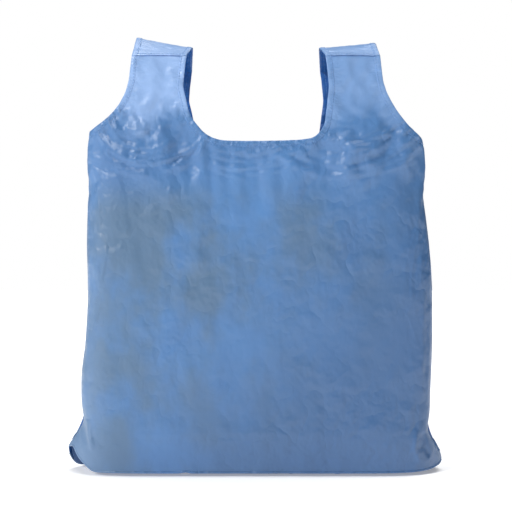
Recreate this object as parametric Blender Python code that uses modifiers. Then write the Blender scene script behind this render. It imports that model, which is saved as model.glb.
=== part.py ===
"""Vest-shaped carrier bag of thin woven cloth, standing filled out.

Two panels are cut with half of each handle on them. They are sewn together at the
sides, the back straps lap over the front ones and are stitched there, and a pleated
gusset closes the bottom. The gusset is caught in both side seams, so its ends stand
out as ears with an open pleat under them. Units are metres, +Z is up, the front
faces -Y, and the origin is the middle of the base on the floor.
"""

import math

import bpy
import numpy as np

# The cut of the cloth
FLAT_WIDTH = 0.468  # side seam to side seam, laid flat
GUSSET_PLEAT = 0.0455  # how deep the bottom pleat goes in
CLOTH = 0.0005  # one layer
HEM_THICKNESS = 0.0015  # three layers, turned and stitched
HEM_WIDTH = 0.006
STRAP_LAP = 0.014  # back strap over front strap
CLEARANCE = 0.0003  # between pieces that are sewn together
PLEAT_GAP = 0.0012  # between the two leaves of the pleat at the side seams

# The filled bag
BODY_DEPTH = 0.114  # front to back, half way up
TOP_DEPTH = 0.114
TOP_GATHER = 0.97  # width of the cloth at the shoulders, drawn in by its folds
BASE_EASE = 1.045  # depth of the base over twice the pleat
BODY_SQUARENESS = 4.6  # exponent of the level outline: 2 is an ellipse, high is a box
TOP_SQUARENESS = 4.4
BASE_SQUARENESS = 9.0
BASE_POINTEDNESS = 1.25  # the same exponent for depth: near 1 the ends are pointed
EAR_HEIGHT = 0.048  # where the ears have run out into the sides
SHOULDER_HEIGHT = 0.385  # top of the side seams
NECK_DROP = 0.012  # the neck's edge, below the shoulders
NECK_SAG = 0.004
NECK_WIDTH = 0.154  # between the straps
NECK_RADIUS_LEFT = 0.042
NECK_RADIUS_RIGHT = 0.026
STRAP_WIDTH = 0.063
ARMHOLE_RISE = 0.060  # from the shoulder to where the strap runs straight
ARMHOLE_TURN_X = 0.006
ARMHOLE_TURN_Z = 0.020
STRAP_LENGTH = 0.083  # from the shoulders' height to where the straps turn over
RIDGE_RISE = 0.017  # from there to the inner end of each handle's ridge
RIDGE_TILT_LEFT = 0.20  # rise of the ridge towards its outer end
RIDGE_TILT_RIGHT = 0.10
RIDGE_ROUNDING = 0.10  # share of the handle's top that is round
EAR_LIFT_LEFT = 0.023
EAR_LIFT_RIGHT = 0.007
FOLD_HEIGHT = 0.004
FOLD_REACH = 0.012  # half the width of a usual fold
EAR_TWIST = 7  # how far in from an ear's tip its front edge starts to lift
BACK_EAR_TWIST = 22

# How finely the cloth is divided
ARMHOLE_COLUMNS = 9
STRAP_COLUMNS = 4
NECK_COLUMNS = 12
FRONT_ROWS = 24
BACK_ROWS = 15
STRAP_ROWS = 6
LAP_ROWS = 2
RIDGE_ROWS = 6
GUSSET_ROWS = 3
OUTLINE_STEPS = 240

BLUE = (0.16, 0.33, 0.60, 1.0)
PALE_BLUE = (0.24, 0.42, 0.68, 1.0)

# Worked out from the sizes above
LAYER = CLOTH + CLEARANCE  # pitch of cloth layers that lie on each other
HEMMED_LAYER = HEM_THICKNESS + CLEARANCE
THIN_SHARE = CLOTH / HEM_THICKNESS  # thickness of plain cloth, as a share of a hem's
BASE_DEPTH = 2 * GUSSET_PLEAT * BASE_EASE
STRAP_INNER = NECK_WIDTH / 2
STRAP_OUTER = STRAP_INNER + STRAP_WIDTH
NECK_HEIGHT = SHOULDER_HEIGHT - NECK_DROP
BEND_HEIGHT = SHOULDER_HEIGHT + STRAP_LENGTH
RIDGE_HEIGHT = BEND_HEIGHT + RIDGE_RISE
SEAM_OUT = CLEARANCE / 2 + CLOTH  # outer face of a panel at the side seam
EAR_SEAM_OUT = PLEAT_GAP / 2 + CLOTH + LAYER  # the same with the gusset between
GUSSET_INSET = CLOTH + LAYER  # pleat side of the gusset, in from a panel's outer face

# Folds of a panel: foot and head (x, z) as shares of half the width and of the shoulders'
# height, how far it stands out and half its width in shares of FOLD_HEIGHT and FOLD_REACH
FRONT_FOLDS = (
    ((-0.86, 0.85), (-0.32, 1.02), 1.0, 0.9),
    ((-0.84, 0.76), (-0.21, 0.94), 1.1, 1.0),
    ((-0.63, 0.73), (0.08, 0.89), 0.9, 1.1),
    ((-0.53, 1.13), (-0.50, 0.97), 0.7, 0.8),
    ((0.92, 0.91), (0.29, 0.83), 1.0, 1.0),
    ((0.81, 0.97), (0.37, 0.91), 0.8, 0.9),
    ((0.00, 0.95), (0.27, 0.85), 0.7, 0.8),
    ((-0.27, 0.01), (-0.26, 0.52), 0.8, 1.2),
    ((-0.93, 0.54), (-0.26, 0.52), -0.9, 1.0),
    ((0.57, 0.16), (0.55, 0.76), 0.7, 1.2),
)
BACK_FOLDS = (
    ((-0.81, 0.80), (-0.29, 0.98), 1.0, 1.2),
    ((0.81, 0.81), (0.26, 0.97), 1.0, 1.2),
    ((-0.42, 0.08), (-0.37, 0.68), 0.8, 1.3),
    ((0.47, 0.05), (0.45, 0.63), 0.8, 1.3),
)
FOLD_MARGIN = 0.16  # share of the half width beside each side seam where folds die out


def ease(t):
    """0 to 1 with a soft start and a soft end."""
    t = min(max(t, 0.0), 1.0)
    return t * t * (3 - 2 * t)


def mix(a, b, t):
    return a + (b - a) * t


def run_of(x, y):
    """Distance along a line of points, starting at 0."""
    return np.concatenate([[0], np.cumsum(np.hypot(np.diff(x), np.diff(y)))])


def quarter(width, depth, squareness, pointedness):
    """Points of one quarter of a level outline, from mid front to the side seam."""
    turn = np.linspace(0, math.pi / 2, OUTLINE_STEPS + 1)
    x = width * np.abs(np.sin(turn)) ** (2 / squareness)
    y = depth * np.abs(np.cos(turn)) ** (2 / pointedness)
    return x, y


def fitted_width(cloth, depth, squareness, pointedness):
    """Half width at which that much cloth, half a panel's, just reaches the side seam."""
    low, high = 0.2 * cloth, cloth
    for _ in range(40):
        middle = (low + high) / 2
        if run_of(*quarter(middle, depth, squareness, pointedness))[-1] > cloth:
            high = middle
        else:
            low = middle
    return low


class Level:
    """The bag's outline at one height. Its measure is a share of the panel's flat width."""

    def __init__(self, cloth, depth, squareness, pointedness, seam_out):
        self.width = fitted_width(cloth, depth - seam_out, squareness, pointedness)
        x, y = quarter(self.width, depth - seam_out, squareness, pointedness)
        run = run_of(x, y)
        self.share, self.x, self.y = run / run[-1], x, y + seam_out

    def place(self, u):
        """(x, distance out of the side seams' plane) at a share from -1 to 1."""
        x = np.interp(abs(u), self.share, self.x)
        return math.copysign(x, u), float(np.interp(abs(u), self.share, self.y))

    def share_at(self, x):
        return math.copysign(float(np.interp(abs(x), self.x, self.share)), x)


def level_at(v):
    """The outline at share v of the way from the bottom edge to the shoulder."""
    height = v * SHOULDER_HEIGHT
    up = ease(height / EAR_HEIGHT)
    top = ease((v - 0.5) / 0.5)
    depth = mix(mix(BASE_DEPTH, BODY_DEPTH, up), TOP_DEPTH, top) / 2
    squareness = mix(mix(BASE_SQUARENESS, BODY_SQUARENESS, up), TOP_SQUARENESS, top)
    pointedness = mix(mix(BASE_POINTEDNESS, BODY_SQUARENESS, up), TOP_SQUARENESS, top)
    # The gusset's two leaves lie between the panels as far up as the pleat goes
    past_pleat = ease((height - GUSSET_PLEAT) / GUSSET_PLEAT)
    seam_out = mix(EAR_SEAM_OUT, SEAM_OUT, past_pleat)
    cloth = FLAT_WIDTH / 2 * mix(1, TOP_GATHER, top)
    return Level(cloth, depth, squareness, pointedness, seam_out)


BASE_LEVEL = level_at(0.0)
TOP_LEVEL = level_at(1.0)


def lip_height(u, is_front):
    """Height of a panel's bottom edge, which rises towards the ears' tips."""
    lift = EAR_LIFT_LEFT if u < 0 else EAR_LIFT_RIGHT
    return lift * abs(u) ** (EAR_TWIST if is_front else BACK_EAR_TWIST)


def resample(points, count):
    """count + 1 points evenly spaced along a line of points."""
    points = np.array(points)
    run = run_of(points[:, 0], points[:, 1])
    at = np.linspace(0, run[-1], count + 1)
    return np.column_stack([np.interp(at, run, points[:, k]) for k in (0, 1)])


def armhole(start, end, side):
    """Points (x, z) of an armhole's edge, from the shoulder (0) up to the strap (1)."""
    foot = np.array([TOP_LEVEL.width, SHOULDER_HEIGHT])
    turn = np.array([STRAP_OUTER + ARMHOLE_TURN_X, SHOULDER_HEIGHT + ARMHOLE_TURN_Z])
    head = np.array([STRAP_OUTER, SHOULDER_HEIGHT + ARMHOLE_RISE])
    t = np.linspace(start, end, 24)[:, None]
    points = (1 - t) ** 2 * foot + 2 * t * (1 - t) * turn + t**2 * head
    return points * (side, 1)


def neckline(start, end, side):
    """Points (x, z) of the rounded corner from the neck's edge (0) up to the strap (1)."""
    radius = NECK_RADIUS_LEFT if side < 0 else NECK_RADIUS_RIGHT
    turn = np.linspace(start, end, 16) * math.pi / 2
    x = STRAP_INNER - radius + radius * np.sin(turn)
    z = NECK_HEIGHT + NECK_SAG + radius - radius * np.cos(turn)
    return np.column_stack([side * x, z])


def with_hems(outer, inner):
    """Points across a strap between two edge points, with a hem's width kept at each."""
    outer, inner = np.array(outer), np.array(inner)
    width = np.linalg.norm(inner - outer)
    hem, step = HEM_WIDTH / width, CLOTH / width
    plain = np.linspace(hem + step, 1 - hem - step, STRAP_COLUMNS + 1)
    return [mix(outer, inner, s) for s in (0, hem, *plain, 1 - hem, 1)]


def armhole_columns(side):
    """Flat shares and heights of the panel's top edge, from the side seam to the strap."""
    curve = armhole(0, 0.5, 1)
    ends = TOP_LEVEL.share_at(curve[0][0]), TOP_LEVEL.share_at(curve[-1][0])
    columns = []
    for u in np.linspace(*ends, ARMHOLE_COLUMNS + 1):
        x = TOP_LEVEL.place(u)[0]
        columns.append((side * x, float(np.interp(-x, -curve[:, 0], curve[:, 1])), side * u))
    return columns


def yoke_points():
    """(x, z, flat share) along the body's top edge, and each strap's columns."""
    points, straps = [], {}
    for side in (-1, 1):
        arm = armhole_columns(side)
        base = with_hems(arm[-1][:2], neckline(0.5, 0.5, side)[0])
        half = arm[:-1] + [(x, z, TOP_LEVEL.share_at(x)) for x, z in base]
        if side < 0:
            points += half
            straps[side] = (ARMHOLE_COLUMNS, len(points) - 1)
            neck = resample([*neckline(0.5, 0, -1), *neckline(0, 0.5, 1)], NECK_COLUMNS)
            for x, z in neck[1:-1]:
                sag = NECK_SAG * (1 - (x / STRAP_INNER) ** 2)
                points.append((x, z - sag, TOP_LEVEL.share_at(x)))
        else:
            straps[side] = (len(points), len(points) + len(base) - 1)
            points += half[::-1]
    return points, straps


YOKE, STRAPS = yoke_points()
SHARES = [u for _, _, u in YOKE]


def strap_edges(side):
    """Edge points of a strap from its base to the bend: outer edge first."""
    outer = [*armhole(0.5, 1, side), (side * STRAP_OUTER, BEND_HEIGHT)]
    inner = [*neckline(0.5, 1, side), (side * STRAP_INNER, BEND_HEIGHT)]
    return resample(outer, STRAP_ROWS), resample(inner, STRAP_ROWS)


def fold_relief(x, z, folds):
    """How far the cloth's folds push it out at a point of the front view."""
    relief = 0.0
    for foot, head, height, reach in folds:
        start = np.multiply(foot, (TOP_LEVEL.width, SHOULDER_HEIGHT))
        line = np.multiply(head, (TOP_LEVEL.width, SHOULDER_HEIGHT)) - start
        length = np.linalg.norm(line)
        at = np.array([x, z]) - start
        along = at @ line / length**2
        off = (at[0] * line[1] - at[1] * line[0]) / length
        fade = math.exp(-((2 * along - 1) ** 4))
        relief += height * fade * math.exp(-((off / (reach * FOLD_REACH)) ** 2))
    return FOLD_HEIGHT * relief


def handle_rise(x, side):
    """Height of a handle's ridge over its bends."""
    tilt = RIDGE_TILT_LEFT if side < 0 else RIDGE_TILT_RIGHT
    return RIDGE_HEIGHT - BEND_HEIGHT + tilt * (abs(x) - STRAP_INNER)


def strap_out(x):
    return TOP_LEVEL.place(TOP_LEVEL.share_at(x))[1]


def handle_point(x, t, side):
    """(out, z) on a handle's top: t is 0 at its own bend, 1 on the ridge, 2 past it."""
    fall = math.hypot(1 - t, RIDGE_ROUNDING) - RIDGE_ROUNDING
    fall /= math.hypot(1, RIDGE_ROUNDING) - RIDGE_ROUNDING
    return np.array([strap_out(x) * (1 - t), BEND_HEIGHT + handle_rise(x, side) * (1 - fall)])


def handle_normal(x, side):
    """Outward direction (out, z) of a handle's sloping top."""
    rise = handle_rise(x, side)
    return np.array([rise, strap_out(x)]) / math.hypot(rise, strap_out(x))


def body_points(is_front, rows):
    """{(column, row): (x, out, z)} of a panel below its straps."""
    folds = FRONT_FOLDS if is_front else BACK_FOLDS
    points = {}
    for j, v in enumerate(rows):
        level = level_at(v)
        for i, u in enumerate(SHARES):
            x, out = level.place(u)
            z = mix(lip_height(u, is_front), YOKE[i][1], v)
            calm = ease((1 - abs(u)) / FOLD_MARGIN)
            points[i, j] = (x, out + calm * fold_relief(x, z, folds), z)
    return points


def strap_points(side, is_front, top):
    """{(column, row): (x, out, z)} of one strap, from row top + 1 up."""
    first, last = STRAPS[side]
    columns = list(range(first, last + 1))
    if side > 0:
        columns.reverse()
    folds = FRONT_FOLDS if is_front else BACK_FOLDS
    outer, inner = strap_edges(side)
    points = {}
    for r in range(1, STRAP_ROWS + 1):
        for i, (x, z) in zip(columns, with_hems(outer[r], inner[r])):
            calm = ease((BEND_HEIGHT - z) / (2 * FOLD_REACH))
            points[i, top + r] = (x, strap_out(x) + calm * fold_relief(x, z, folds), z)
    bend = top + STRAP_ROWS
    count = LAP_ROWS if is_front else 2 * RIDGE_ROWS
    for i in columns:
        x = points[i, bend][0]
        if is_front:
            # The front strap turns in just under the back strap, which laps over it
            normal = handle_normal(x, side)
            points[i, bend] = (x, strap_out(x), BEND_HEIGHT - HEMMED_LAYER / normal[1])
            under = HEMMED_LAYER * normal
            reach = STRAP_LAP / math.hypot(handle_rise(x, side), strap_out(x))
        else:
            under, reach = np.zeros(2), 2.0
        for r in range(1, count + 1):
            out, z = handle_point(x, reach * r / count, side) - under
            points[i, bend + r] = (x, out, z)
    return points


def panel_points(is_front):
    """The points of a panel, and which of them are on a hem."""
    hem_share = HEM_WIDTH / SHOULDER_HEIGHT
    step_share = CLOTH / SHOULDER_HEIGHT
    count = FRONT_ROWS if is_front else BACK_ROWS
    rows = [*np.linspace(0, 1 - hem_share - step_share, count + 1), 1 - hem_share, 1.0]
    points = body_points(is_front, rows)
    top = len(rows) - 1
    hems = {(i, j) for i in range(2, len(YOKE) - 2) for j in (top - 1, top)}
    for side, (first, last) in STRAPS.items():
        hems -= {(i, j) for i in range(first + 2, last - 1) for j in (top - 1, top)}
        strap = strap_points(side, is_front, top)
        hems |= {(i, j) for i, j in strap if i in (first, first + 1, last - 1, last)}
        points.update(strap)
    return points, hems


def gusset_points():
    """{(column, row): (x, y, z)} of the gusset's outer face, from front lip to back lip."""
    points = {}
    for i, u in enumerate(SHARES):
        x, out = BASE_LEVEL.place(u)
        out = max(out - GUSSET_INSET, PLEAT_GAP / 2)
        rise = math.sqrt(max(0.0, GUSSET_PLEAT**2 - out**2))
        back_lip = lip_height(u, False)
        for is_front in (True, False):
            for r in range(GUSSET_ROWS + 1):
                s = r / GUSSET_ROWS
                lip = mix(lip_height(u, is_front), back_lip, s)
                z = mix(lip, back_lip + rise, s)
                level = level_at(max(0.0, z - lip) / (SHOULDER_HEIGHT - lip))
                y = mix(out, PLEAT_GAP / 2, s)
                j = r if is_front else 2 * GUSSET_ROWS + 1 - r
                narrowing = (level.width - GUSSET_INSET) / BASE_LEVEL.width
                points[i, j] = (x * narrowing, -y if is_front else y, z)
    return points


def sheet_mesh(name, points, turned):
    """A mesh of one cloth's face. turned says that its rows and columns run the other way."""
    order = {key: n for n, key in enumerate(sorted(points))}
    faces = []
    for i, j in sorted(points):
        corners = [(i, j), (i + 1, j), (i + 1, j + 1), (i, j + 1)]
        if all(c in points for c in corners):
            faces.append([order[c] for c in (corners[::-1] if turned else corners)])
    mesh = bpy.data.meshes.new(name)
    mesh.from_pydata([points[key] for key in sorted(points)], [], faces)
    return mesh, order


def material(name, color):
    made = bpy.data.materials.new(name)
    made.use_nodes = True
    shader = made.node_tree.nodes["Principled BSDF"]
    shader.inputs["Base Color"].default_value = color
    shader.inputs["Roughness"].default_value = 0.45
    shader.inputs["Metallic"].default_value = 0.0
    made.diffuse_color = color
    return made


def cloth_object(name, points, turned, color, hems=None):
    """One cloth with its thickness on the inner side of the given face."""
    mesh, order = sheet_mesh(name, points, turned)
    obj = bpy.data.objects.new(name, mesh)
    bpy.data.collections["shopping_bag"].objects.link(obj)
    mesh.materials.append(material(name, color))
    solid = obj.modifiers.new("thickness", "SOLIDIFY")
    solid.thickness = CLOTH
    solid.offset = -1
    if hems is not None:
        group = obj.vertex_groups.new(name="hem")
        for key, n in order.items():
            group.add([n], 1.0 if key in hems else THIN_SHARE, "REPLACE")
        solid.thickness = HEM_THICKNESS
        solid.vertex_group = "hem"
    solid.use_even_offset = False
    return obj


def main():
    for obj in list(bpy.data.objects):
        bpy.data.objects.remove(obj)
    bag = bpy.data.collections.new("shopping_bag")
    bpy.context.scene.collection.children.link(bag)
    for name, is_front, color in (("front_panel", True, PALE_BLUE), ("back_panel", False, BLUE)):
        points, hems = panel_points(is_front)
        sign = -1 if is_front else 1
        placed = {key: (x, sign * out, z) for key, (x, out, z) in points.items()}
        cloth_object(name, placed, not is_front, color, hems)
    cloth_object("bottom_gusset", gusset_points(), True, BLUE)


main()
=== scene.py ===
"""Looks of the vest-shaped carrier bag: thin woven cloth, simulated, hemmed and stitched."""

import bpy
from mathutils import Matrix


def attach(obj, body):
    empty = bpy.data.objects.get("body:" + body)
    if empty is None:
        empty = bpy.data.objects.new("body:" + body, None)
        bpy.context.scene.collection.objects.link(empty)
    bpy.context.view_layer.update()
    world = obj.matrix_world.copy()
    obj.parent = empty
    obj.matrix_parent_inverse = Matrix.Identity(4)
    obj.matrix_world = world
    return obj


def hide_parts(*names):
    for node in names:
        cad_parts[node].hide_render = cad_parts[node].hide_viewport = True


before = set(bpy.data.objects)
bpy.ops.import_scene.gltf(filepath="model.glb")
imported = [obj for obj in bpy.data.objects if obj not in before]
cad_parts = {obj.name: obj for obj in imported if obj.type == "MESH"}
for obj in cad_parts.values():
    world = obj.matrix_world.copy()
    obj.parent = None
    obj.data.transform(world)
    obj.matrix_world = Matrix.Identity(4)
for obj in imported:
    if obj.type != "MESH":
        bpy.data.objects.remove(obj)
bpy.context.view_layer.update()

import math
import time

import bmesh
import bpy
import numpy as np
from mathutils import Vector, kdtree, noise
from mathutils.bvhtree import BVHTree

# The bag's sizes, as in its source. Where a side has its own, -1 is the left one and 1 the right.
FLAT_WIDTH = 0.468
TOP_GATHER = 0.962  # share of its flat width that the cloth keeps at the top
GUSSET_PLEAT = 0.0455
BASE_DEPTH = 2 * GUSSET_PLEAT * 1.045
BODY_DEPTH = 0.114
TOP_DEPTH = 0.114
# Outline's squareness and pointedness at the base, along the body and at the top
SQUARENESS = (9.0, 4.6, 4.4)
POINTEDNESS = (1.25, 4.6, 4.4)
SEAM_OUT = (0.0012, 0.0002)  # half the gap between the panels at a side seam, at the pleat and above
EAR_HEIGHT = 0.048
SHOULDER = 0.385
NECK = 0.373
NECK_SAG = 0.004
STRAP_INNER = 0.077
STRAP_OUTER = 0.140
NECK_RADIUS = {-1: 0.042, 1: 0.020}
SHOULDER_DROP = {-1: 0.0, 1: 0.008}
BEND = 0.468
RIDGE = 0.485
RIDGE_TILT = {-1: 0.20, 1: 0.10}
RIDGE_REACH = 0.0045
# The armhole's curve: its turning point past the strap and above the shoulder, and its head
ARMHOLE_TURN = (0.006, 0.020)
ARMHOLE_HEAD = 0.060
# How far each strap draws in at its waist and at its bend, and the waist's height above its middle
STRAP_WAIST, STRAP_BEND = 0.0045, 0.0008
WAIST_RISE = 0.012
# Rise of the left and the right ear's tip, and how suddenly its front and its back lip rise
EAR_LIFT = {-1: 0.0265, 1: 0.013}
OPEN_LIP = (0.77, 0.94)
FRONT_LIP_TURN = 14
BACK_LIP_TURN = {-1: 32, 1: 18}
FOOT_GAP = 0.0030
CLOTH = 0.0004

# Weave of the simulated cloth: columns and rows
ARM_COLUMNS = 22
STRAP_COLUMNS = 16
NECK_COLUMNS = 32
BODY_ROWS = 90
STRAP_ROWS = 18
TOP_ROWS = 28
GUSSET_ROWS = 10
LAP = STRAP_ROWS + 4
SIM_FRAMES = 26

# How much longer the slack cloth is than it hangs, how much shorter where it is drawn tight,
# and how far the handles are from the first to the second
SLACK = 0.055
TIGHT = 0.005
HANDLE_TAUT = 0.62

# How far the filled body leans to the right, where its sides swell or draw in besides (side,
# height, reach, outwards), and the small tuck in the front's foot
LEAN = 0.0035
SWELLS = [(-1, 0.205, 0.040, -0.0025), (-1, 0.112, 0.028, 0.0030), (-1, 0.054, 0.016, -0.0045),
          (-1, 0.020, 0.012, 0.0035), (1, 0.050, 0.014, -0.0035)]
TUCK_PLACE, TUCK_WIDTH, TUCK_LIFT = -0.333, 0.007, 0.0028
LAP_TUCK = (0, 0.0009, -0.0008)  # how the front cloth lies under the back one where they lap

# Crisp folds: middle (x, z), inner and outer radius, first and last x, top, height
FRONT_FOLDS = [
    ((-0.120, 0.412), 0.012, 0.085, -0.185, -0.020, 0.418, 0.0034),
    ((0.100, 0.470), 0.060, 0.145, -0.030, 0.190, 0.405, 0.0030),
    ((-0.010, 0.455), 0.082, 0.130, -0.060, 0.075, 0.375, 0.0020),
    ((-0.420, 0.250), 0.215, 0.262, -0.212, -0.150, 0.350, 0.0014),
    ((0.420, 0.200), 0.205, 0.262, 0.150, 0.212, 0.350, 0.0011),
]
BACK_FOLDS = [
    ((-0.112, 0.425), 0.020, 0.110, -0.180, 0.010, 0.405, 0.0024),
    ((0.110, 0.430), 0.020, 0.100, 0.010, 0.185, 0.405, 0.0026),
]

# Ridges and hollows of the ears: line (x, z), height, half width
EAR_RIDGES = [
    (((-0.1895, 0.062), (-0.187, 0.045), (-0.183, 0.028)), 0.0034, 0.0032),
    (((0.180, 0.052), (0.1775, 0.030), (0.185, 0.013)), 0.0030, 0.0034),
    (((0.187, 0.048), (0.189, 0.032), (0.195, 0.018)), -0.0045, 0.0042),
]

# Swags that the yokes start from: middle (x, z), inner and outer radius, first and last x, height
FRONT_SWAGS = [
    ((-0.128, 0.408), 0.022, 0.075, -0.190, -0.045, 0.0022),
    ((0.100, 0.466), 0.070, 0.140, -0.010, 0.200, 0.0020),
]
BACK_SWAGS = [
    ((-0.110, 0.444), 0.050, 0.120, -0.200, 0.010, 0.0018),
    ((0.115, 0.429), 0.035, 0.105, 0.020, 0.200, 0.0020),
]

# Top of the body that the cloth meets while it is simulated, as (x, z) from left to right
FILLING_TOP = [(-0.19, 0.319), (-0.17, 0.345), (-0.06, 0.347), (-0.045, 0.355), (0.015, 0.355),
               (0.03, 0.341), (0.09, 0.338), (0.11, 0.326), (0.165, 0.318), (0.19, 0.294)]

# Sections of the sewn bands in millimetres: how far in from the edge, and how far off the cloth
HEM_OUTSIDE = [(-0.4, 0.42), (0.5, 0.66), (2.0, 0.74), (3.5, 0.66),
               (4.4, 0.36), (4.9, 0.36), (5.5, 0.55), (6.0, 0.30)]
HEM = [(-0.6, -0.2), *HEM_OUTSIDE, (6.3, -0.1)]
HEM += [(s, -0.4 - h) for s, h in HEM_OUTSIDE[::-1]]
SEAM = [(-2.4, 0.05), (-1.9, 0.55), (-0.9, 0.8), (0.9, 0.8),
        (1.9, 0.55), (2.4, 0.05), (1.8, -0.7), (-1.8, -0.7)]
FOOT_SEAM = [(-0.1, 0.1), (0.2, 0.55), (1.2, 0.6), (2.0, 0.4),
             (2.3, 0.05), (2.0, -0.7), (0.2, -0.7), (-0.1, -0.4)]

# Stitches: how far in from the edge, how far off the cloth outside and inside, from one to the
# next, and the thread's radius
STITCH_INSET = 0.00465
STITCH_HEIGHTS = (0.00052, -0.00092)
STITCH_PITCH = 0.0032
THREAD = 0.00024

# Relief in the cloth's finish: height of each kind
CREASES, DENTS, DRAPE = 0.0009, 0.0026, 0.0060
CRUMPLE, GATHERS, WEAVE = 0.0054, 0.0026, 0.00002

CAMERA = (0, -1.365, 0.2455)
LENS = 83.1


def ease(t):
    t = np.clip(t, 0.0, 1.0)
    return t * t * (3 - 2 * t)


def mix(a, b, t):
    return a + (b - a) * t


def run_of(points):
    steps = np.linalg.norm(np.diff(points, axis=0), axis=1)
    return np.concatenate([[0], np.cumsum(steps)])


def resample(points, count):
    points = np.array(points, float)
    run = run_of(points)
    at = np.linspace(0, run[-1], count + 1)
    return np.column_stack([np.interp(at, run, points[:, k]) for k in range(points.shape[1])])


class Level:
    """The bag's outline at one height, measured by shares of the cloth's flat width."""

    def __init__(self, depth, squareness, pointedness, seam_out, cloth=FLAT_WIDTH / 2):
        turn = np.linspace(0, math.pi / 2, 241)
        sines = np.abs(np.sin(turn)) ** (2 / squareness)
        y = (depth - seam_out) * np.abs(np.cos(turn)) ** (2 / pointedness)
        low, high = 0.2 * cloth, cloth
        for _ in range(30):
            middle = (low + high) / 2
            run = run_of(np.column_stack([middle * sines, y]))
            low, high = (low, middle) if run[-1] > cloth else (middle, high)
        self.width = low
        self.share, self.x, self.y = run / run[-1], low * sines, y + seam_out

    def place(self, u):
        x = np.interp(np.abs(u), self.share, self.x) * np.sign(u)
        return x, np.interp(np.abs(u), self.share, self.y)

    def share_at(self, x):
        return np.interp(np.abs(x), self.x, self.share) * np.sign(x)


def level_at(v):
    height = v * SHOULDER
    up, top = float(ease(height / EAR_HEIGHT)), float(ease((v - 0.5) / 0.5))
    depth = mix(mix(BASE_DEPTH, BODY_DEPTH, up), TOP_DEPTH, top) / 2
    squareness, pointedness = (
        mix(mix(base, body, up), head, top) for base, body, head in (SQUARENESS, POINTEDNESS)
    )
    past_pleat = float(ease((height - GUSSET_PLEAT) / GUSSET_PLEAT))
    cloth = FLAT_WIDTH / 2 * mix(1, TOP_GATHER, top)
    return Level(depth, squareness, pointedness, mix(*SEAM_OUT, past_pleat), cloth)


TOP = level_at(1.0)


def lip_height(u, is_front):
    out = np.abs(u)
    if is_front:
        rise = np.where(u < 0, ease((out - OPEN_LIP[0]) / (OPEN_LIP[1] - OPEN_LIP[0])), out**FRONT_LIP_TURN)
        tuck = TUCK_LIFT * np.exp(-(((u - TUCK_PLACE) / TUCK_WIDTH) ** 2)) + FOOT_GAP * ease((1 - out) / 0.1)
    else:
        rise, tuck = out ** np.where(u < 0, BACK_LIP_TURN[-1], BACK_LIP_TURN[1]), 0
    return np.where(u < 0, EAR_LIFT[-1], EAR_LIFT[1]) * rise + tuck


def armhole(start, end):
    foot = np.array([TOP.width, SHOULDER])
    turn = np.array([STRAP_OUTER + ARMHOLE_TURN[0], SHOULDER + ARMHOLE_TURN[1]])
    head = np.array([STRAP_OUTER, SHOULDER + ARMHOLE_HEAD])
    t = np.linspace(start, end, 24)[:, None]
    return (1 - t) ** 2 * foot + 2 * t * (1 - t) * turn + t**2 * head


def neckline(start, end, side):
    radius = NECK_RADIUS[side]
    turn = np.linspace(start, end, 16) * math.pi / 2
    x = STRAP_INNER - radius + radius * np.sin(turn)
    return np.column_stack([side * x, NECK + NECK_SAG + radius - radius * np.cos(turn)])


def top_edge():
    """(x, z, share) along the top of a panel's body, and each strap's first and last column."""
    points, straps = [], {}
    for side in (-1, 1):
        curve = armhole(0, 0.5)
        shares = np.linspace(TOP.share_at(curve[0, 0]), TOP.share_at(curve[-1, 0]), ARM_COLUMNS + 1)
        x, _ = TOP.place(shares)
        z = np.interp(-x, -curve[:, 0], curve[:, 1])
        z -= SHOULDER_DROP[side] * ease((x - STRAP_OUTER - 0.008) / (TOP.width - STRAP_OUTER - 0.008))
        arm = np.column_stack([side * x, z, side * shares])
        base = resample([arm[-1, :2], neckline(0.5, 0.5, side)[0]], STRAP_COLUMNS)
        base = np.column_stack([base, TOP.share_at(base[:, 0])])
        half = np.vstack([arm[:-1], base])
        if side < 0:
            straps[-1] = (ARM_COLUMNS, ARM_COLUMNS + STRAP_COLUMNS)
            neck = resample([*neckline(0.5, 0, -1), *neckline(0, 0.5, 1)], NECK_COLUMNS)[1:-1]
            sag = NECK_SAG * (1 - (neck[:, 0] / STRAP_INNER) ** 2)
            neck = np.column_stack([neck[:, 0], neck[:, 1] - sag, TOP.share_at(neck[:, 0])])
            points = [half, neck]
        else:
            first = sum(map(len, points))
            straps[1] = (first, first + STRAP_COLUMNS)
            points.append(half[::-1])
    return np.vstack(points), straps


EDGE, STRAPS = top_edge()
COLUMNS = len(EDGE)


def strap_edges(side):
    """(x, z) up the outer and the inner edge of one strap, from the yoke to the bend."""
    outer = np.vstack([armhole(0.5, 1), [STRAP_OUTER - 0.003, BEND]]) * (side, 1)
    waist = [side * (STRAP_INNER + STRAP_WAIST), (NECK + BEND) / 2 + WAIST_RISE]
    inner = np.vstack([neckline(0.5, 0.95, side), waist, [side * (STRAP_INNER + STRAP_BEND), BEND]])
    return resample(outer, STRAP_ROWS), resample(inner, STRAP_ROWS)


def body_grid(is_front):
    """Points (row, column) of a panel below its straps, each with its place on the flat cut."""
    rows = np.linspace(0, 1, BODY_ROWS + 1)
    grid = np.zeros((len(rows), COLUMNS, 5))
    lip = lip_height(EDGE[:, 2], is_front)
    for j, v in enumerate(rows):
        x, out = level_at(v).place(EDGE[:, 2])
        z = mix(lip, EDGE[:, 1], v)
        grid[j] = np.column_stack([x, -out if is_front else out, z, EDGE[:, 2] * FLAT_WIDTH / 2, z])
    return grid


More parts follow.
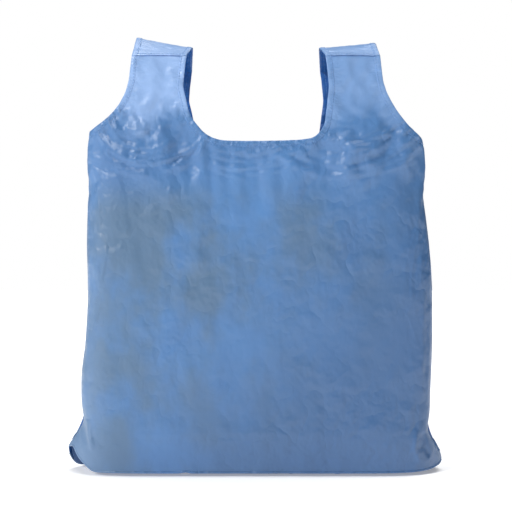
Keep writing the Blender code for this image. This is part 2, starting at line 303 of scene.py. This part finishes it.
def handle_grid(side):
    """Points (row, column) of one handle, from the front yoke over the ridge to the back,
    each with its place on the flat cut."""
    outer, inner = strap_edges(side)
    share = np.linspace(0, 1, STRAP_COLUMNS + 1)
    if side > 0:
        share = share[::-1]
    upright = [mix(outer[r], inner[r], share[:, None]) for r in range(1, STRAP_ROWS + 1)]
    rows = []
    for line in upright:
        out = TOP.place(TOP.share_at(line[:, 0]))[1]
        rows.append(np.column_stack([line[:, 0], -out, line[:, 1]]))
    x = upright[-1][:, 0]
    out = TOP.place(TOP.share_at(x))[1]
    rise = RIDGE - BEND + RIDGE_TILT[side] * (np.abs(x) - STRAP_INNER)
    rounding = 0.12
    for r in range(1, TOP_ROWS):
        t = 2 * r / TOP_ROWS
        fall = (math.hypot(1 - t, rounding) - rounding) / (math.hypot(1, rounding) - rounding)
        spread = (STRAP_OUTER - np.abs(x)) / (STRAP_OUTER - STRAP_INNER)
        reach = side * RIDGE_REACH * spread * (1 - fall)
        rows.append(np.column_stack([x - reach, -out * (1 - t), BEND + rise * (1 - fall)]))
    for line in rows[STRAP_ROWS - 1 :: -1]:
        rows.append(line * (1, -1, 1))
    rows = np.array(rows)
    along = run_of(rows.mean(axis=1))[:, None, None] + NECK + 0.01
    across = np.broadcast_to(upright[0][None, :, :1], rows[:, :, :1].shape)
    return np.concatenate([rows, across, np.broadcast_to(along, across.shape)], axis=2)


def grid_faces(index, turned):
    """The faces between a grid's points, by their numbers."""
    faces = []
    for j in range(index.shape[0] - 1):
        for i in range(index.shape[1] - 1):
            quad = [int(k) for k in (index[j, i], index[j, i + 1], index[j + 1, i + 1], index[j + 1, i])]
            faces.append(quad[::-1] if turned else quad)
    return faces


class Shell:
    """The whole bag above its gusset as one mesh, with where each grid's points went."""

    def __init__(self):
        self.points, self.faces = [], []
        self.front = self.add(body_grid(True))
        self.back = self.add(body_grid(False), {0: self.front, COLUMNS - 1: self.front})
        self.faces += grid_faces(self.front, False) + grid_faces(self.back, True)
        self.handles = {}
        for side, (first, last) in STRAPS.items():
            rows = handle_grid(side)
            index = np.arange(rows[:, :, 0].size).reshape(rows.shape[:2]) + len(self.points)
            self.points += list(rows.reshape(-1, 5))
            front, back = self.front[-1, first : last + 1], self.back[-1, first : last + 1]
            self.handles[side] = np.vstack([front, index, back])
            self.faces += grid_faces(self.handles[side], False)
        places = np.array(self.points)
        self.points, self.flat = places[:, :3].copy(), places[:, 3:].copy()

    def add(self, grid, shared=None):
        index = np.zeros(grid.shape[:2], int)
        for i in range(grid.shape[1]):
            if shared and i in shared:
                index[:, i] = shared[i][:, i]
                continue
            index[:, i] = np.arange(grid.shape[0]) + len(self.points)
            self.points += list(grid[:, i])
        return index


def new_object(name, data):
    obj = bpy.data.objects.new(name, data)
    bpy.context.scene.collection.objects.link(obj)
    return obj


def new_mesh(name, points, faces):
    mesh = bpy.data.meshes.new(name)
    mesh.from_pydata([tuple(map(float, p)) for p in points], [], faces)
    mesh.update()
    return new_object(name, mesh)


def set_group(obj, name, weights):
    group = obj.vertex_groups.new(name=name)
    for k, w in enumerate(weights):
        if w > 0:
            group.add([k], float(w), "REPLACE")


def points_of(mesh):
    flat = np.empty(len(mesh.vertices) * 3)
    mesh.vertices.foreach_get("co", flat)
    return flat.reshape(-1, 3)


def noise_at(points, size, seed=0.0):
    """Smooth noise from -1 to 1 at each point, with features of that size."""
    shift = Vector((seed, 2 * seed, 3 * seed))
    return np.array([noise.noise(Vector(p) / size + shift) for p in points])


def filling():
    """A body with the bag's own outline and an uneven top, which only the simulated cloth meets."""
    rings, gap, soft, foot, start, wall = [], 0.0026, 0.016, 0.012, 0.27, 0.6
    u = np.linspace(-1, 1, 41)
    for step in np.linspace(0, 1, 37):
        low = foot + step / wall * (start - foot)
        level = level_at(min(low, 0.30) / SHOULDER)
        x, y = level.place(u)
        top = np.interp(x, *zip(*FILLING_TOP))
        z = np.full(len(u), low) if step < wall else mix(start, top, math.sin((step - wall) / 0.8 * math.pi))
        over = np.clip((z - (top - soft)) / soft, 0, 1)
        inset = gap + soft * (1 - np.sqrt(1 - over**2))
        x = x * (1 - inset / level.width)
        y = np.maximum(y - inset, 0.0005)
        rings.append(np.vstack([np.column_stack([x, -y, z]), np.column_stack([x, y, z])[::-1]]))
    count = len(rings[0])
    faces = [
        [a * count + i, a * count + (i + 1) % count, (a + 1) * count + (i + 1) % count, (a + 1) * count + i]
        for a in range(len(rings) - 1) for i in range(count)
    ]
    for a in (0, len(rings) - 1):
        cap = [[a * count + i, a * count + i + 1, (a + 1) * count - 2 - i, (a + 1) * count - 1 - i]
               for i in range(len(u) - 1)]
        faces += cap if a else [quad[::-1] for quad in cap]
    body = new_mesh("filling", np.vstack(rings), faces)
    body.modifiers.new("meets", "COLLISION")
    body.collision.thickness_outer = 0.0015
    body.collision.cloth_friction = 8
    return body


def swags(points):
    """How far out each point starts so that the yokes fall in long curved folds."""
    out = np.zeros(len(points))
    for way, folds in ((-1, FRONT_SWAGS), (1, BACK_SWAGS)):
        for number, (middle, inner, outer, first, last, height) in enumerate(folds):
            off = points[:, [0, 2]] - middle
            radius, turn = np.hypot(*off.T), np.arctan2(*off.T)
            reach = np.minimum(ease((radius - inner) / 0.010), ease((outer - radius) / 0.015))
            reach *= np.minimum(ease((points[:, 0] - first) / 0.02), ease((last - points[:, 0]) / 0.02))
            reach *= (points[:, 1] * way > 0.02) * ease((points[:, 2] - 0.315) / 0.02)
            reach *= ease((0.405 - points[:, 2]) / 0.02)
            for k in np.flatnonzero(reach > 0):
                place = Vector((radius[k] / 0.0075, turn[k] * outer / 0.045, way + 7 * number))
                out[k] += way * height * reach[k] * noise.noise(place) * 2
    return out


def hold_weights(shell):
    """How firmly each point is held in place, and how taut its cloth is from 0, slack, to 1."""
    held, taut = np.full(len(shell.points), 0.02), np.ones(len(shell.points))
    off_middle = ease((np.abs(EDGE[:, 0]) - 0.045) / 0.035)
    for index in (shell.front, shell.back):
        for j, v in enumerate(np.linspace(0, 1, BODY_ROWS + 1)):
            held[index[j]] = 1.0 if j < 2 else max(0.02, 0.6 - 3.75 * v)
            taut[index[j]] = 1 - (0.5 + 0.5 * off_middle) * float(ease((v - 0.80) / 0.12))
        for edge in (index[:, 0], index[:, -1]):
            held[edge] = np.maximum(held[edge], 0.3)
            taut[edge] = 1.0
        held[index[-1]] = 0.3
        taut[index[-2:]] = 1.0
    for index in shell.handles.values():
        held[index[1:-1]] = 0.1
        taut[index[1:-1]] = HANDLE_TAUT
        taut[index[:, [0, -1]]] = 1.0
        held[index[1:-1, [0, -1]]] = 0.35
        held[index[STRAP_ROWS + 1 : -STRAP_ROWS - 1]] = 0.5
        held[index[STRAP_ROWS + TOP_ROWS // 2]] = 1.0
    return held, taut


def simulate(shell):
    """Where the shell's points come to rest under gravity, round what fills the bag."""
    start = shell.points.copy()
    loose = mix(0.3, 0.6, ease((start[:, 2] - 0.30) / 0.05))
    start[:, 1] += loose * (0.0015 * noise_at(start, 0.012) + 0.0030 * noise_at(start, 0.035))
    start[:, 1] += swags(shell.points)
    obj = new_mesh("cloth_at_work", start, shell.faces)
    held, taut = hold_weights(shell)
    set_group(obj, "held", held)
    set_group(obj, "taut", taut)
    body = filling()
    cloth = obj.modifiers.new("cloth", "CLOTH")
    taffeta = cloth.settings
    taffeta.quality = 5
    taffeta.mass = 0.003
    taffeta.air_damping = 1.5
    taffeta.tension_stiffness = taffeta.compression_stiffness = 30
    taffeta.shear_stiffness = 5
    taffeta.bending_stiffness = 0.0005
    taffeta.tension_damping = taffeta.compression_damping = taffeta.shear_damping = 1
    taffeta.bending_damping = 0.1
    taffeta.vertex_group_mass = "held"
    taffeta.pin_stiffness = 4
    taffeta.vertex_group_shrink = "taut"
    taffeta.shrink_min, taffeta.shrink_max = -SLACK, TIGHT
    cloth.collision_settings.distance_min = 0.001
    cloth.collision_settings.use_self_collision = False
    cloth.point_cache.frame_start, cloth.point_cache.frame_end = 1, SIM_FRAMES
    scene = bpy.context.scene
    scene.frame_start, scene.frame_end = 1, SIM_FRAMES
    began = time.time()
    for number in range(1, SIM_FRAMES + 1):
        scene.frame_set(number)
    rest = points_of(obj.evaluated_get(bpy.context.evaluated_depsgraph_get()).data)
    moved = np.percentile(1000 * np.linalg.norm(rest - shell.points, axis=1), [50, 99])
    print(f"cloth: {len(rest)} points, {time.time() - began:.0f} s, moved {moved} mm")
    scene.frame_set(1)
    for used in (obj, body):
        bpy.data.objects.remove(used)
    return rest


def panel(name, parts, points, flat):
    """A panel's mesh from its grids of point numbers, with its flat cut as its own map."""
    used = sorted({int(k) for index, _ in parts for k in index.ravel()})
    order = {k: n for n, k in enumerate(used)}
    faces = [[order[k] for k in quad] for index, turned in parts for quad in grid_faces(index, turned)]
    obj = new_mesh(name, points[used], faces)
    set_map(obj, "flat", flat[used])
    bpy.context.view_layer.objects.active = obj
    fine = obj.modifiers.new("fine", "SUBSURF")
    fine.levels = fine.render_levels = 1
    fine.boundary_smooth = "PRESERVE_CORNERS"
    bpy.ops.object.modifier_apply(modifier="fine")
    obj.data.shade_smooth()
    return obj


def set_map(obj, name, places):
    """A map of that name, which gives each vertex one place."""
    layer = obj.data.uv_layers.new(name=name)
    corners = np.empty(len(obj.data.loops), int)
    obj.data.loops.foreach_get("vertex_index", corners)
    layer.data.foreach_set("uv", np.asarray(places, float)[corners].ravel())


def thicken(obj, thickness):
    """Gives the cloth its thickness inwards, with the object's second material inside."""
    bpy.context.view_layer.objects.active = obj
    solid = obj.modifiers.new("thick", "SOLIDIFY")
    solid.thickness, solid.offset = thickness, -1
    solid.material_offset = 1
    bpy.ops.object.modifier_apply(modifier="thick")
    obj.data.shade_smooth()


def fine_run(points):
    """The smooth line that subdivision makes of a run of edge points."""
    for _ in range(3):
        finer = np.empty((2 * len(points) - 1, 3))
        finer[::2] = points
        finer[2:-1:2] = (points[:-2] + 6 * points[1:-1] + points[2:]) / 8
        finer[1::2] = (points[:-1] + points[1:]) / 2
        points = finer
    return points


class Edge:
    """A sewn edge: places every millimetre or so along it, its direction and the cloth beside it."""

    def __init__(self, points, tree, seed, step=0.0012):
        self.points = resample(fine_run(points), int(run_of(points)[-1] / step))
        self.run = run_of(self.points)
        along = np.gradient(self.points, axis=0)
        self.along = along / np.linalg.norm(along, axis=1)[:, None]
        self.seed = seed
        self.meet(tree)
        ripple = [
            0.00075 * noise.noise(Vector((s / 0.0075, seed, 0)))
            + 0.0009 * noise.noise(Vector((s / 0.019, seed, 5)))
            for s in self.run
        ]
        self.ripple = np.array(ripple) * np.minimum(1, np.minimum(self.run, self.run[-1] - self.run) / 0.01)

    def meet(self, tree):
        """Reads the cloth's normal at each place, and which way the cloth lies."""
        self.tree = tree
        normals = np.array([tree.find_nearest(Vector(p))[1] for p in self.points])
        kernel = np.hanning(9) / np.hanning(9).sum()
        padded = np.vstack([normals[:1]] * 4 + [normals] + [normals[-1:]] * 4)
        normals = np.column_stack([np.convolve(padded[:, k], kernel, "valid") for k in range(3)])
        normals -= (normals * self.along).sum(axis=1)[:, None] * self.along
        self.normal = normals / np.linalg.norm(normals, axis=1)[:, None]
        self.inward = np.cross(self.normal, self.along)
        tried = [self.points[k] + way * 0.004 * self.inward[k]
                 for way in (1, -1) for k in range(0, len(self.points), 5)]
        gaps = np.array([tree.find_nearest(Vector(p))[3] for p in tried]).reshape(2, -1).sum(axis=1)
        if gaps[1] < gaps[0]:
            self.inward = -self.inward

    def draw_up(self, tree):
        """Lets the edge ripple, beside the cloth as it has become."""
        self.points = self.points + self.ripple[:, None] * self.normal
        self.meet(tree)

    def place(self, k, inward, out):
        """A place beside the edge: that far in over the cloth, and that far off its surface."""
        spot = self.points[k] + inward * self.inward[k]
        if inward > 0:
            spot = np.array(self.tree.find_nearest(Vector(spot))[0])
        return spot + out * self.normal[k]


def pucker(obj, edges, reach=0.017):
    """Draws the cloth up beside its sewn edges, and maps how far along and off each point is."""
    tree = kdtree.KDTree(sum(len(edge.points) for edge in edges))
    owners = []
    for edge in edges:
        for k, p in enumerate(edge.points):
            tree.insert(Vector(p), len(owners))
            owners.append((edge.run[k] + edge.seed, edge.ripple[k]))
    tree.balance()
    places = []
    for vertex in obj.data.vertices:
        _, k, gap = tree.find(vertex.co)
        places.append((owners[k][0], min(gap, 0.06)))
        if gap < reach:
            vertex.co += vertex.normal * owners[k][1] * (1 - gap / reach) ** 2
    set_map(obj, "seam", places)


def folds(obj, way, fields):
    """Lays crisp folds in the cloth of a yoke, along arcs round each field's middle."""
    points = points_of(obj.data)
    x, y, z = points.T
    for seed, (middle, inner, outer, first, last, top, height) in enumerate(fields):
        radius, turn = np.hypot(x - middle[0], z - middle[1]), np.arctan2(x - middle[0], z - middle[1])
        reach = ease((radius - inner) / 0.006) * ease((outer - radius) / 0.012) * ease((top - z) / 0.015)
        reach *= ease((x - first) / 0.02) * ease((last - x) / 0.02) * (y * way > 0.02)
        for k in np.flatnonzero(reach > 0):
            place = Vector((radius[k] / 0.0080, turn[k] * outer / 0.075, way + 5 * seed))
            crest = max(0.0, 1 - 3.0 * abs(noise.noise(place))) ** 1.5
            strong = 0.55 + 0.9 * noise.noise(place * 0.37 + Vector((7, 0, 0)))
            points[k, 1] += way * height * reach[k] * max(0.0, strong) * crest
    obj.data.vertices.foreach_set("co", points.ravel())


def ridges(obj, lines):
    """Raises narrow ridges in the front of the cloth along lines (x, z), each with its height."""
    points = points_of(obj.data)
    near = np.flatnonzero((points[:, 1] < 0) & (points[:, 2] < 0.09))
    for line, height, reach in lines:
        spots = resample(line, 24)
        fade = np.sin(np.linspace(0, math.pi, len(spots))) ** 0.5
        gaps = np.linalg.norm(points[near][:, None, [0, 2]] - spots[None], axis=2)
        k = gaps.argmin(axis=1)
        points[near, 1] -= height * fade[k] * np.exp(-((gaps.min(axis=1) / reach) ** 2))
    obj.data.vertices.foreach_set("co", points.ravel())


def tree_of(*objs):
    points, faces = [], []
    for obj in objs:
        first = len(points)
        points += [v.co.copy() for v in obj.data.vertices]
        faces += [[first + k for k in face.vertices] for face in obj.data.polygons]
    return BVHTree.FromPolygons(points, faces)


def band(name, edges, section):
    """Rolled bands of that section in millimetres, swept along sewn edges."""
    bm = bmesh.new()
    seam = bm.loops.layers.uv.new("seam")
    for edge in edges:
        rings = []
        for k in range(len(edge.points)):
            full = 1 + 0.22 * noise.noise(Vector((edge.run[k] / 0.004, edge.seed, 9)))
            ring = [edge.place(k, s / 1000, h * full / 1000) for s, h in section]
            rings.append([bm.verts.new((p[0], p[1], max(p[2], -0.0003))) for p in ring])
        for k in range(len(rings) - 1):
            for i in range(len(section)):
                j = (i + 1) % len(section)
                face = bm.faces.new([rings[k][i], rings[k][j], rings[k + 1][j], rings[k + 1][i]])
                face.material_index = int(max(section[i][1], section[j][1]) < 0)
                for loop, (a, b) in zip(face.loops, ((k, i), (k, j), (k + 1, j), (k + 1, i))):
                    loop[seam].uv = (edge.run[a] + edge.seed, section[b][0] / 1000)
        bm.faces.new(rings[0])
        bm.faces.new(rings[-1][::-1])
    return finish_mesh(name, bm)


def finish_mesh(name, bm):
    bmesh.ops.recalc_face_normals(bm, faces=bm.faces[:])
    mesh = bpy.data.meshes.new(name)
    bm.to_mesh(mesh)
    bm.free()
    mesh.shade_smooth()
    return new_object(name, mesh)


def stitching(name, edges):
    """Lock stitches along sewn edges: short threads that dip into the cloth at both ends."""
    bm = bmesh.new()
    for edge in edges:
        for n in range(int(edge.run[-1] / STITCH_PITCH)):
            ends = [(n + 0.5 + way * 0.37) * STITCH_PITCH for way in (-1, -0.45, 0.45, 1)]
            for out in STITCH_HEIGHTS:
                rings = []
                for s, dip in zip(ends, (0.00045, 0, 0, 0.00045)):
                    k = min(int(np.searchsorted(edge.run, s)), len(edge.run) - 1)
                    off = out - dip if out > 0 else out + dip
                    spot = edge.place(k, STITCH_INSET, off) + (s - edge.run[k]) * edge.along[k]
                    side = np.cross(edge.along[k], edge.normal[k])
                    rings.append([
                        bm.verts.new(spot + THREAD * (math.cos(a) * side + math.sin(a) * edge.normal[k]))
                        for a in np.linspace(0, math.tau, 6)[:-1]
                    ])
                for one, two in zip(rings, rings[1:]):
                    for i in range(5):
                        bm.faces.new([one[i], one[(i + 1) % 5], two[(i + 1) % 5], two[i]])
                bm.faces.new(rings[0][::-1])
                bm.faces.new(rings[-1])
    return finish_mesh(name, bm)


def gusset_grid():
    """Points (row, column) of the pleated gusset, from the front seam over its fold to the back."""
    level = level_at(0.0)
    u = EDGE[:, 2]
    x, out = level.place(u)
    out = np.maximum(out - 0.0008, 0.0004)
    rise = np.sqrt(np.maximum(0.0, GUSSET_PLEAT**2 - out**2))
    back_lip = lip_height(u, False)
    rows = []
    for is_front in (True, False):
        half = []
        for r in range(GUSSET_ROWS + 1):
            s = r / GUSSET_ROWS
            lip = mix(lip_height(u, is_front), back_lip, s)
            z = mix(lip, back_lip + rise, s)
            width = np.array([level_at(h).width for h in np.maximum(0, z - lip) / (SHOULDER - lip)])
            y = mix(out, 0.0004, s)
            half.append(np.column_stack([x * (width - 0.001) / level.width, -y if is_front else y, z]))
        rows += half if is_front else half[::-1]
    return np.array(rows)


class Shade:
    """A shader socket to reckon with. An operator on it adds the Math node that it names."""

    def __init__(self, tree, socket=None):
        self.tree, self.socket = tree, socket

    def node(self, kind, settings=None, inputs=None, output=0):
        """Adds a node, its settings first and then its sockets' values or links. Gives back one
        of its outputs."""
        made = self.tree.nodes.new("ShaderNode" + kind)
        for name, value in (settings or {}).items():
            setattr(made, name, value)
        for name, value in (inputs or {}).items():
            if isinstance(value, Shade):
                self.tree.links.new(value.socket, made.inputs[name])
            else:
                made.inputs[name].default_value = value
        return Shade(self.tree, made.outputs[output])

    def math(self, operation, *values):
        return self.node("Math", {"operation": operation}, dict(enumerate(values)))

    def __add__(self, other):
        return self.math("ADD", self, other)

    def __sub__(self, other):
        return self.math("SUBTRACT", self, other)

    def __rsub__(self, other):
        return self.math("SUBTRACT", other, self)

    def __mul__(self, other):
        return self.math("MULTIPLY", self, other)

    __radd__, __rmul__ = __add__, __mul__

    def between(self, low, high):
        """0 below low, 1 above high and a smooth way between."""
        return self.node("MapRange", {"interpolation_type": "SMOOTHSTEP"},
                         {"Value": self, "From Min": low, "From Max": high})

    def part(self, axis):
        return self.node("SeparateXYZ", inputs={0: self}, output="XYZ".index(axis))

    def stretch(self, *scale):
        return self.node("VectorMath", {"operation": "MULTIPLY"}, {0: self, 1: scale})

    def cloudy(self, scale, detail=2.0, rough=0.5):
        inputs = {"Vector": self, "Scale": scale, "Detail": detail, "Roughness": rough}
        return self.node("TexNoise", inputs=inputs)


def blend_color(base, share, color):
    """A colour that turns from base to the other colour by that share."""
    inputs = {"Factor": share, 6: base, 7: color}
    return share.node("Mix", {"data_type": "RGBA"}, inputs, output=2)


def new_material(name):
    """A new material, its tree and shader, and the place on the object that is shaded."""
    made = bpy.data.materials.new(name)
    made.use_nodes = True
    tree = made.node_tree
    return made, tree, tree.nodes["Principled BSDF"], Shade(tree).node("TexCoord", output=3)


def taffeta(name, color, deep_tone_and_shade, dull, painted_light, roughness):
    """Thin satin-like woven cloth: fine threads, small creases, puckers beside the seams. Its colour holds
    painted light, paler at the handles as if light shone through them, the left one more than the right, and
    at the left edge, and painted shade, deeper towards the lower right."""
    made, tree, shader, place = new_material(name)
    seam = Shade(tree).node("UVMap", {"uv_map": "seam"})
    off = seam.part("Y")

    tone = place.cloudy(9.0, 3.0).between(0.3, 0.7)
    spots = place.stretch(1, 1, 0.6).cloudy(34.0, 4.0, 0.6).between(0.35, 0.7)
    base = blend_color((*color, 1), tone * 0.35 + spots * 0.20, (*deep_tone_and_shade, 1))
    dusty = place.stretch(1, 1, 0.7).cloudy(13.0, 4.0, 0.55).between(0.36, 0.62)
    base = blend_color(base, dusty * 0.95 * (1 - place.part("Z").between(0.29, 0.34)), (*dull, 1))
    # Painted shade: the colour turns deeper towards the lower right, away from the key light.
    painted_shade_lower_right = (place.part("X") * 1.2 - place.part("Z")).between(-0.34, 0.08)
    base = blend_color(base, painted_shade_lower_right * 0.95, (*deep_tone_and_shade, 1))
    # Painted light: paler towards the left edge, which faces the light.
    base = blend_color(base, (0 - place.part("X")).between(0.155, 0.20) * 0.20, (*painted_light, 1))
    # Painted light: paler at the handles, as if light shone through them; less so on the right one and at
    # their tops.
    patchy = place.cloudy(30.0, 3.0, 0.5)
    high = (place.part("Z") + patchy * 0.10).between(0.432, 0.482)
    high = high * (1 - place.part("X").between(-0.10, 0.10) * 0.52)
    high = high * (1 - place.part("Z").between(0.468, 0.486) * 0.3)
    base = blend_color(base, high * (1.25 - patchy * 0.7), (*painted_light, 1))
    tree.links.new(base.socket, shader.inputs["Base Color"])

    threads = place.stretch(1, 0.4, 1).node(
        "TexWave", {"wave_type": "BANDS", "bands_direction": "Z"},
        {"Scale": 640.0, "Distortion": 0.6, "Detail": 1.0})
    creases = place.stretch(1, 0.6, 0.55).cloudy(60.0, 2.0, 0.5)
    dents = place.cloudy(30.0, 2.0, 0.45)
    drape = place.stretch(1, 0.5, 0.4).cloudy(22.0, 2.0, 0.5)
    folded = place.stretch(1, 0.6, 0.85).cloudy(27.0, 3.0, 0.5) * 2 - 1
    crumple = folded.math("ABSOLUTE", folded) * (tone * 0.9 + 0.2)
    crumple = crumple * (1 - place.part("Z").between(0.38, 0.44) * 0.7)
    gathers = seam.stretch(210, 75, 1).cloudy(1.0, 2.0, 0.4) * (1 - off.between(0.004, 0.022))
    height = creases * CREASES + dents * DENTS + drape * DRAPE + crumple * CRUMPLE + gathers * GATHERS
    height = height + threads.part("X") * WEAVE
    bump = height.node("Bump", inputs={"Height": height, "Distance": 1.0, "Strength": 0.75})
    tree.links.new(bump.socket, shader.inputs["Normal"])
    rough = spots * 0.08 + (roughness - 0.04)
    tree.links.new(rough.socket, shader.inputs["Roughness"])
    shader.inputs["Specular IOR Level"].default_value = 0.7
    return made


def thread_material():
    made, tree, shader, place = new_material("sewing_thread")
    twist = place.cloudy(900.0, 1.0)
    color = blend_color((0.10, 0.24, 0.52, 1), twist, (0.22, 0.40, 0.70, 1))
    tree.links.new(color.socket, shader.inputs["Base Color"])
    shader.inputs["Roughness"].default_value = 0.45
    return made


# The simulated cloth
for obj in bpy.context.selected_objects:
    obj.select_set(False)
shell = Shell()
rest = simulate(shell)
rest[:, 0] += LEAN * ease((rest[:, 2] - 0.06) / 0.10) * ease((0.34 - rest[:, 2]) / 0.14)
for side, height, reach, outwards in SWELLS:
    near = np.clip((side * rest[:, 0] - 0.12) / 0.08, 0, 1) * np.exp(-(((rest[:, 2] - height) / reach) ** 2))
    rest[:, 0] += side * outwards * near
left, right = shell.handles[-1], shell.handles[1]
tucked = rest.copy()
for handle in (left, right):
    tucked[handle[STRAP_ROWS + 1 : LAP]] += LAP_TUCK
front_cloth = panel("front_panel_cloth", [(shell.front, False), (left[:LAP], False), (right[:LAP], False)],
                    tucked, shell.flat)
back_cloth = panel("back_panel_cloth",
                   [(shell.back, True), (left[STRAP_ROWS:], False), (right[STRAP_ROWS:], False)],
                   rest, shell.flat)
gusset = gusset_grid()
index = np.arange(gusset[:, :, 0].size).reshape(gusset.shape[:2])
along = run_of(gusset[:, COLUMNS // 2])
flat = np.stack(np.broadcast_arrays(EDGE[None, :, 2] * FLAT_WIDTH / 2, along[:, None]), axis=2)
gusset_cloth = panel("bottom_gusset_cloth", [(index, True)], gusset.reshape(-1, 3), flat.reshape(-1, 2))

# Hems, seams and stitches
(L0, L1), (R0, R1) = STRAPS[-1], STRAPS[1]
bend = STRAP_ROWS + 1
front_runs = [
    [*shell.front[-1, :L0], *left[:bend, 0]],
    [*left[bend - 1 : 0 : -1, -1], *shell.front[-1, L1 : R0 + 1], *right[1:bend, 0]],
    [*right[bend - 1 :: -1, -1], *shell.front[-1, R1 + 1 :]],
]
back_left, back_right = left[STRAP_ROWS:][::-1], right[STRAP_ROWS:][::-1]
back_runs = [
    [*shell.back[-1, :L0], *back_left[:, 0]],
    [*back_left[:0:-1, -1], *shell.back[-1, L1 : R0 + 1], *back_right[1:, 0]],
    [*back_right[::-1, -1], *shell.back[-1, R1 + 1 :]],
]
lap_runs = [[*left[STRAP_ROWS]], [*right[STRAP_ROWS]]]
edges = {}
for cloth, runs, seed in ((front_cloth, front_runs, 1.3), (back_cloth, back_runs, 2.7)):
    tree = tree_of(cloth)
    found = [Edge(rest[run], tree, seed + 0.9 * n) for n, run in enumerate(runs)]
    sides = [Edge(rest[shell.front[2:, i]], tree, 5.5 + i) for i in (0, COLUMNS - 1)]
    if cloth is front_cloth:
        folds(cloth, -1, FRONT_FOLDS)
        ridges(cloth, EAR_RIDGES)
    else:
        folds(cloth, 1, BACK_FOLDS)
    pucker(cloth, found + sides)
    tree = tree_of(cloth)
    for edge in found:
        edge.draw_up(tree)
    edges[cloth.name] = found
pucker(gusset_cloth, [Edge(gusset[0], tree_of(gusset_cloth), 4.1)])
walls = tree_of(front_cloth, back_cloth)
side_edges = [Edge(rest[shell.front[2:, i]], walls, 5.5 + i) for i in (0, COLUMNS - 1)]
for edge in side_edges:
    edge.draw_up(walls)
lap_edges = [Edge(rest[run], walls, 7.1 + n) for n, run in enumerate(lap_runs)]
front_hems = band("front_panel_hems", edges["front_panel_cloth"], HEM)
back_hems = band("back_panel_hems", edges["back_panel_cloth"], HEM)
side_seams = band("side_seams", side_edges, SEAM)
foot_edges = [Edge(rest[index[0, 1:-1]], tree_of(cloth), 6.5)
              for index, cloth in ((shell.front, front_cloth), (shell.back, back_cloth))]
foot_seams = band("foot_seams", foot_edges, FOOT_SEAM)
front_thread = stitching("front_hem_thread", edges["front_panel_cloth"])
back_thread = stitching("back_hem_thread", edges["back_panel_cloth"] + lap_edges)

# Materials, and what each piece is of
outside = taffeta("taffeta_outside", color=(0.092, 0.240, 0.520), deep_tone_and_shade=(0.048, 0.130, 0.300),
                  dull=(0.095, 0.178, 0.295), painted_light=(0.310, 0.480, 0.810), roughness=0.40)
# Painted shade: the inside is the same cloth in a darker, deeper blue, as it lies in shade.
inside = taffeta("taffeta_inside_painted_shade", color=(0.012, 0.110, 0.400), deep_tone_and_shade=(0.008, 0.078, 0.300),
                 dull=(0.012, 0.084, 0.270), painted_light=(0.014, 0.160, 0.540), roughness=0.55)
# Painted shade: the gusset is the same cloth in a darker blue, for the shade in its pleats.
shaded_gusset = taffeta("taffeta_gusset_painted_shade", color=(0.040, 0.135, 0.360), deep_tone_and_shade=(0.025, 0.095, 0.270),
                  dull=(0.040, 0.110, 0.280), painted_light=(0.050, 0.150, 0.380), roughness=0.46)
thread = thread_material()
for piece, node, outer in (
    (front_cloth, "front_panel", outside), (back_cloth, "back_panel", outside),
    (gusset_cloth, "bottom_gusset", shaded_gusset),
):
    piece.data.materials.append(outer)
    piece.data.materials.append(inside)
    thicken(piece, CLOTH)
    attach(piece, "root")
    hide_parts(node)
for piece, node, finishes in (
    (front_hems, "front_panel", (outside, inside)), (back_hems, "back_panel", (outside, inside)),
    (side_seams, "back_panel", (outside, outside)), (foot_seams, "bottom_gusset", (outside, outside)),
    (front_thread, "front_panel", (thread,)), (back_thread, "back_panel", (thread,)),
):
    for finish in finishes:
        piece.data.materials.append(finish)
    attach(piece, "root")

# Floor, light and camera
bpy.ops.mesh.primitive_plane_add(size=14, location=(0, 0, -0.0006))
floor = bpy.context.object
floor.name = "floor"
paper = bpy.data.materials.new("paper")
paper.use_nodes = True
finish = paper.node_tree.nodes["Principled BSDF"].inputs
finish["Base Color"].default_value = (0.93, 0.93, 0.93, 1)
finish["Roughness"].default_value = 0.9
finish["Emission Color"].default_value = (1, 1, 1, 1)
finish["Emission Strength"].default_value = 0.28
floor.data.materials.append(paper)

world = bpy.data.worlds.new("studio")
bpy.context.scene.world = world
world.use_nodes = True
surroundings = world.node_tree.nodes["Background"].inputs
seen = Shade(world.node_tree).node("LightPath")
surroundings["Color"].default_value = (1, 1, 1, 1)
world.node_tree.links.new((seen * 0.93 + 0.07).socket, surroundings["Strength"])


def sun(name, toward, strength, angle):
    """A wide, even light from far off, which comes from that direction."""
    light = bpy.data.lights.new(name, "SUN")
    light.energy, light.angle = strength, angle
    new_object(name, light).rotation_euler = Vector(toward).to_track_quat("Z", "Y").to_euler()


sun("key", (-0.90, -0.78, 0.78), 2.1, 0.25)
sun("top", (0.10, 0.16, 1.0), 2.6, 1.0)
sun("fill", (0.9, -0.9, 0.2), 0.12, 1.0)

lens = bpy.data.cameras.new("camera")
camera = new_object("camera", lens)
camera.location = CAMERA
camera.rotation_euler = (math.pi / 2, 0, 0)
lens.sensor_width, lens.lens = 36, LENS
lens.clip_start, lens.clip_end = 0.05, 30
bpy.context.scene.camera = camera
bpy.context.scene.view_settings.view_transform = "Standard"
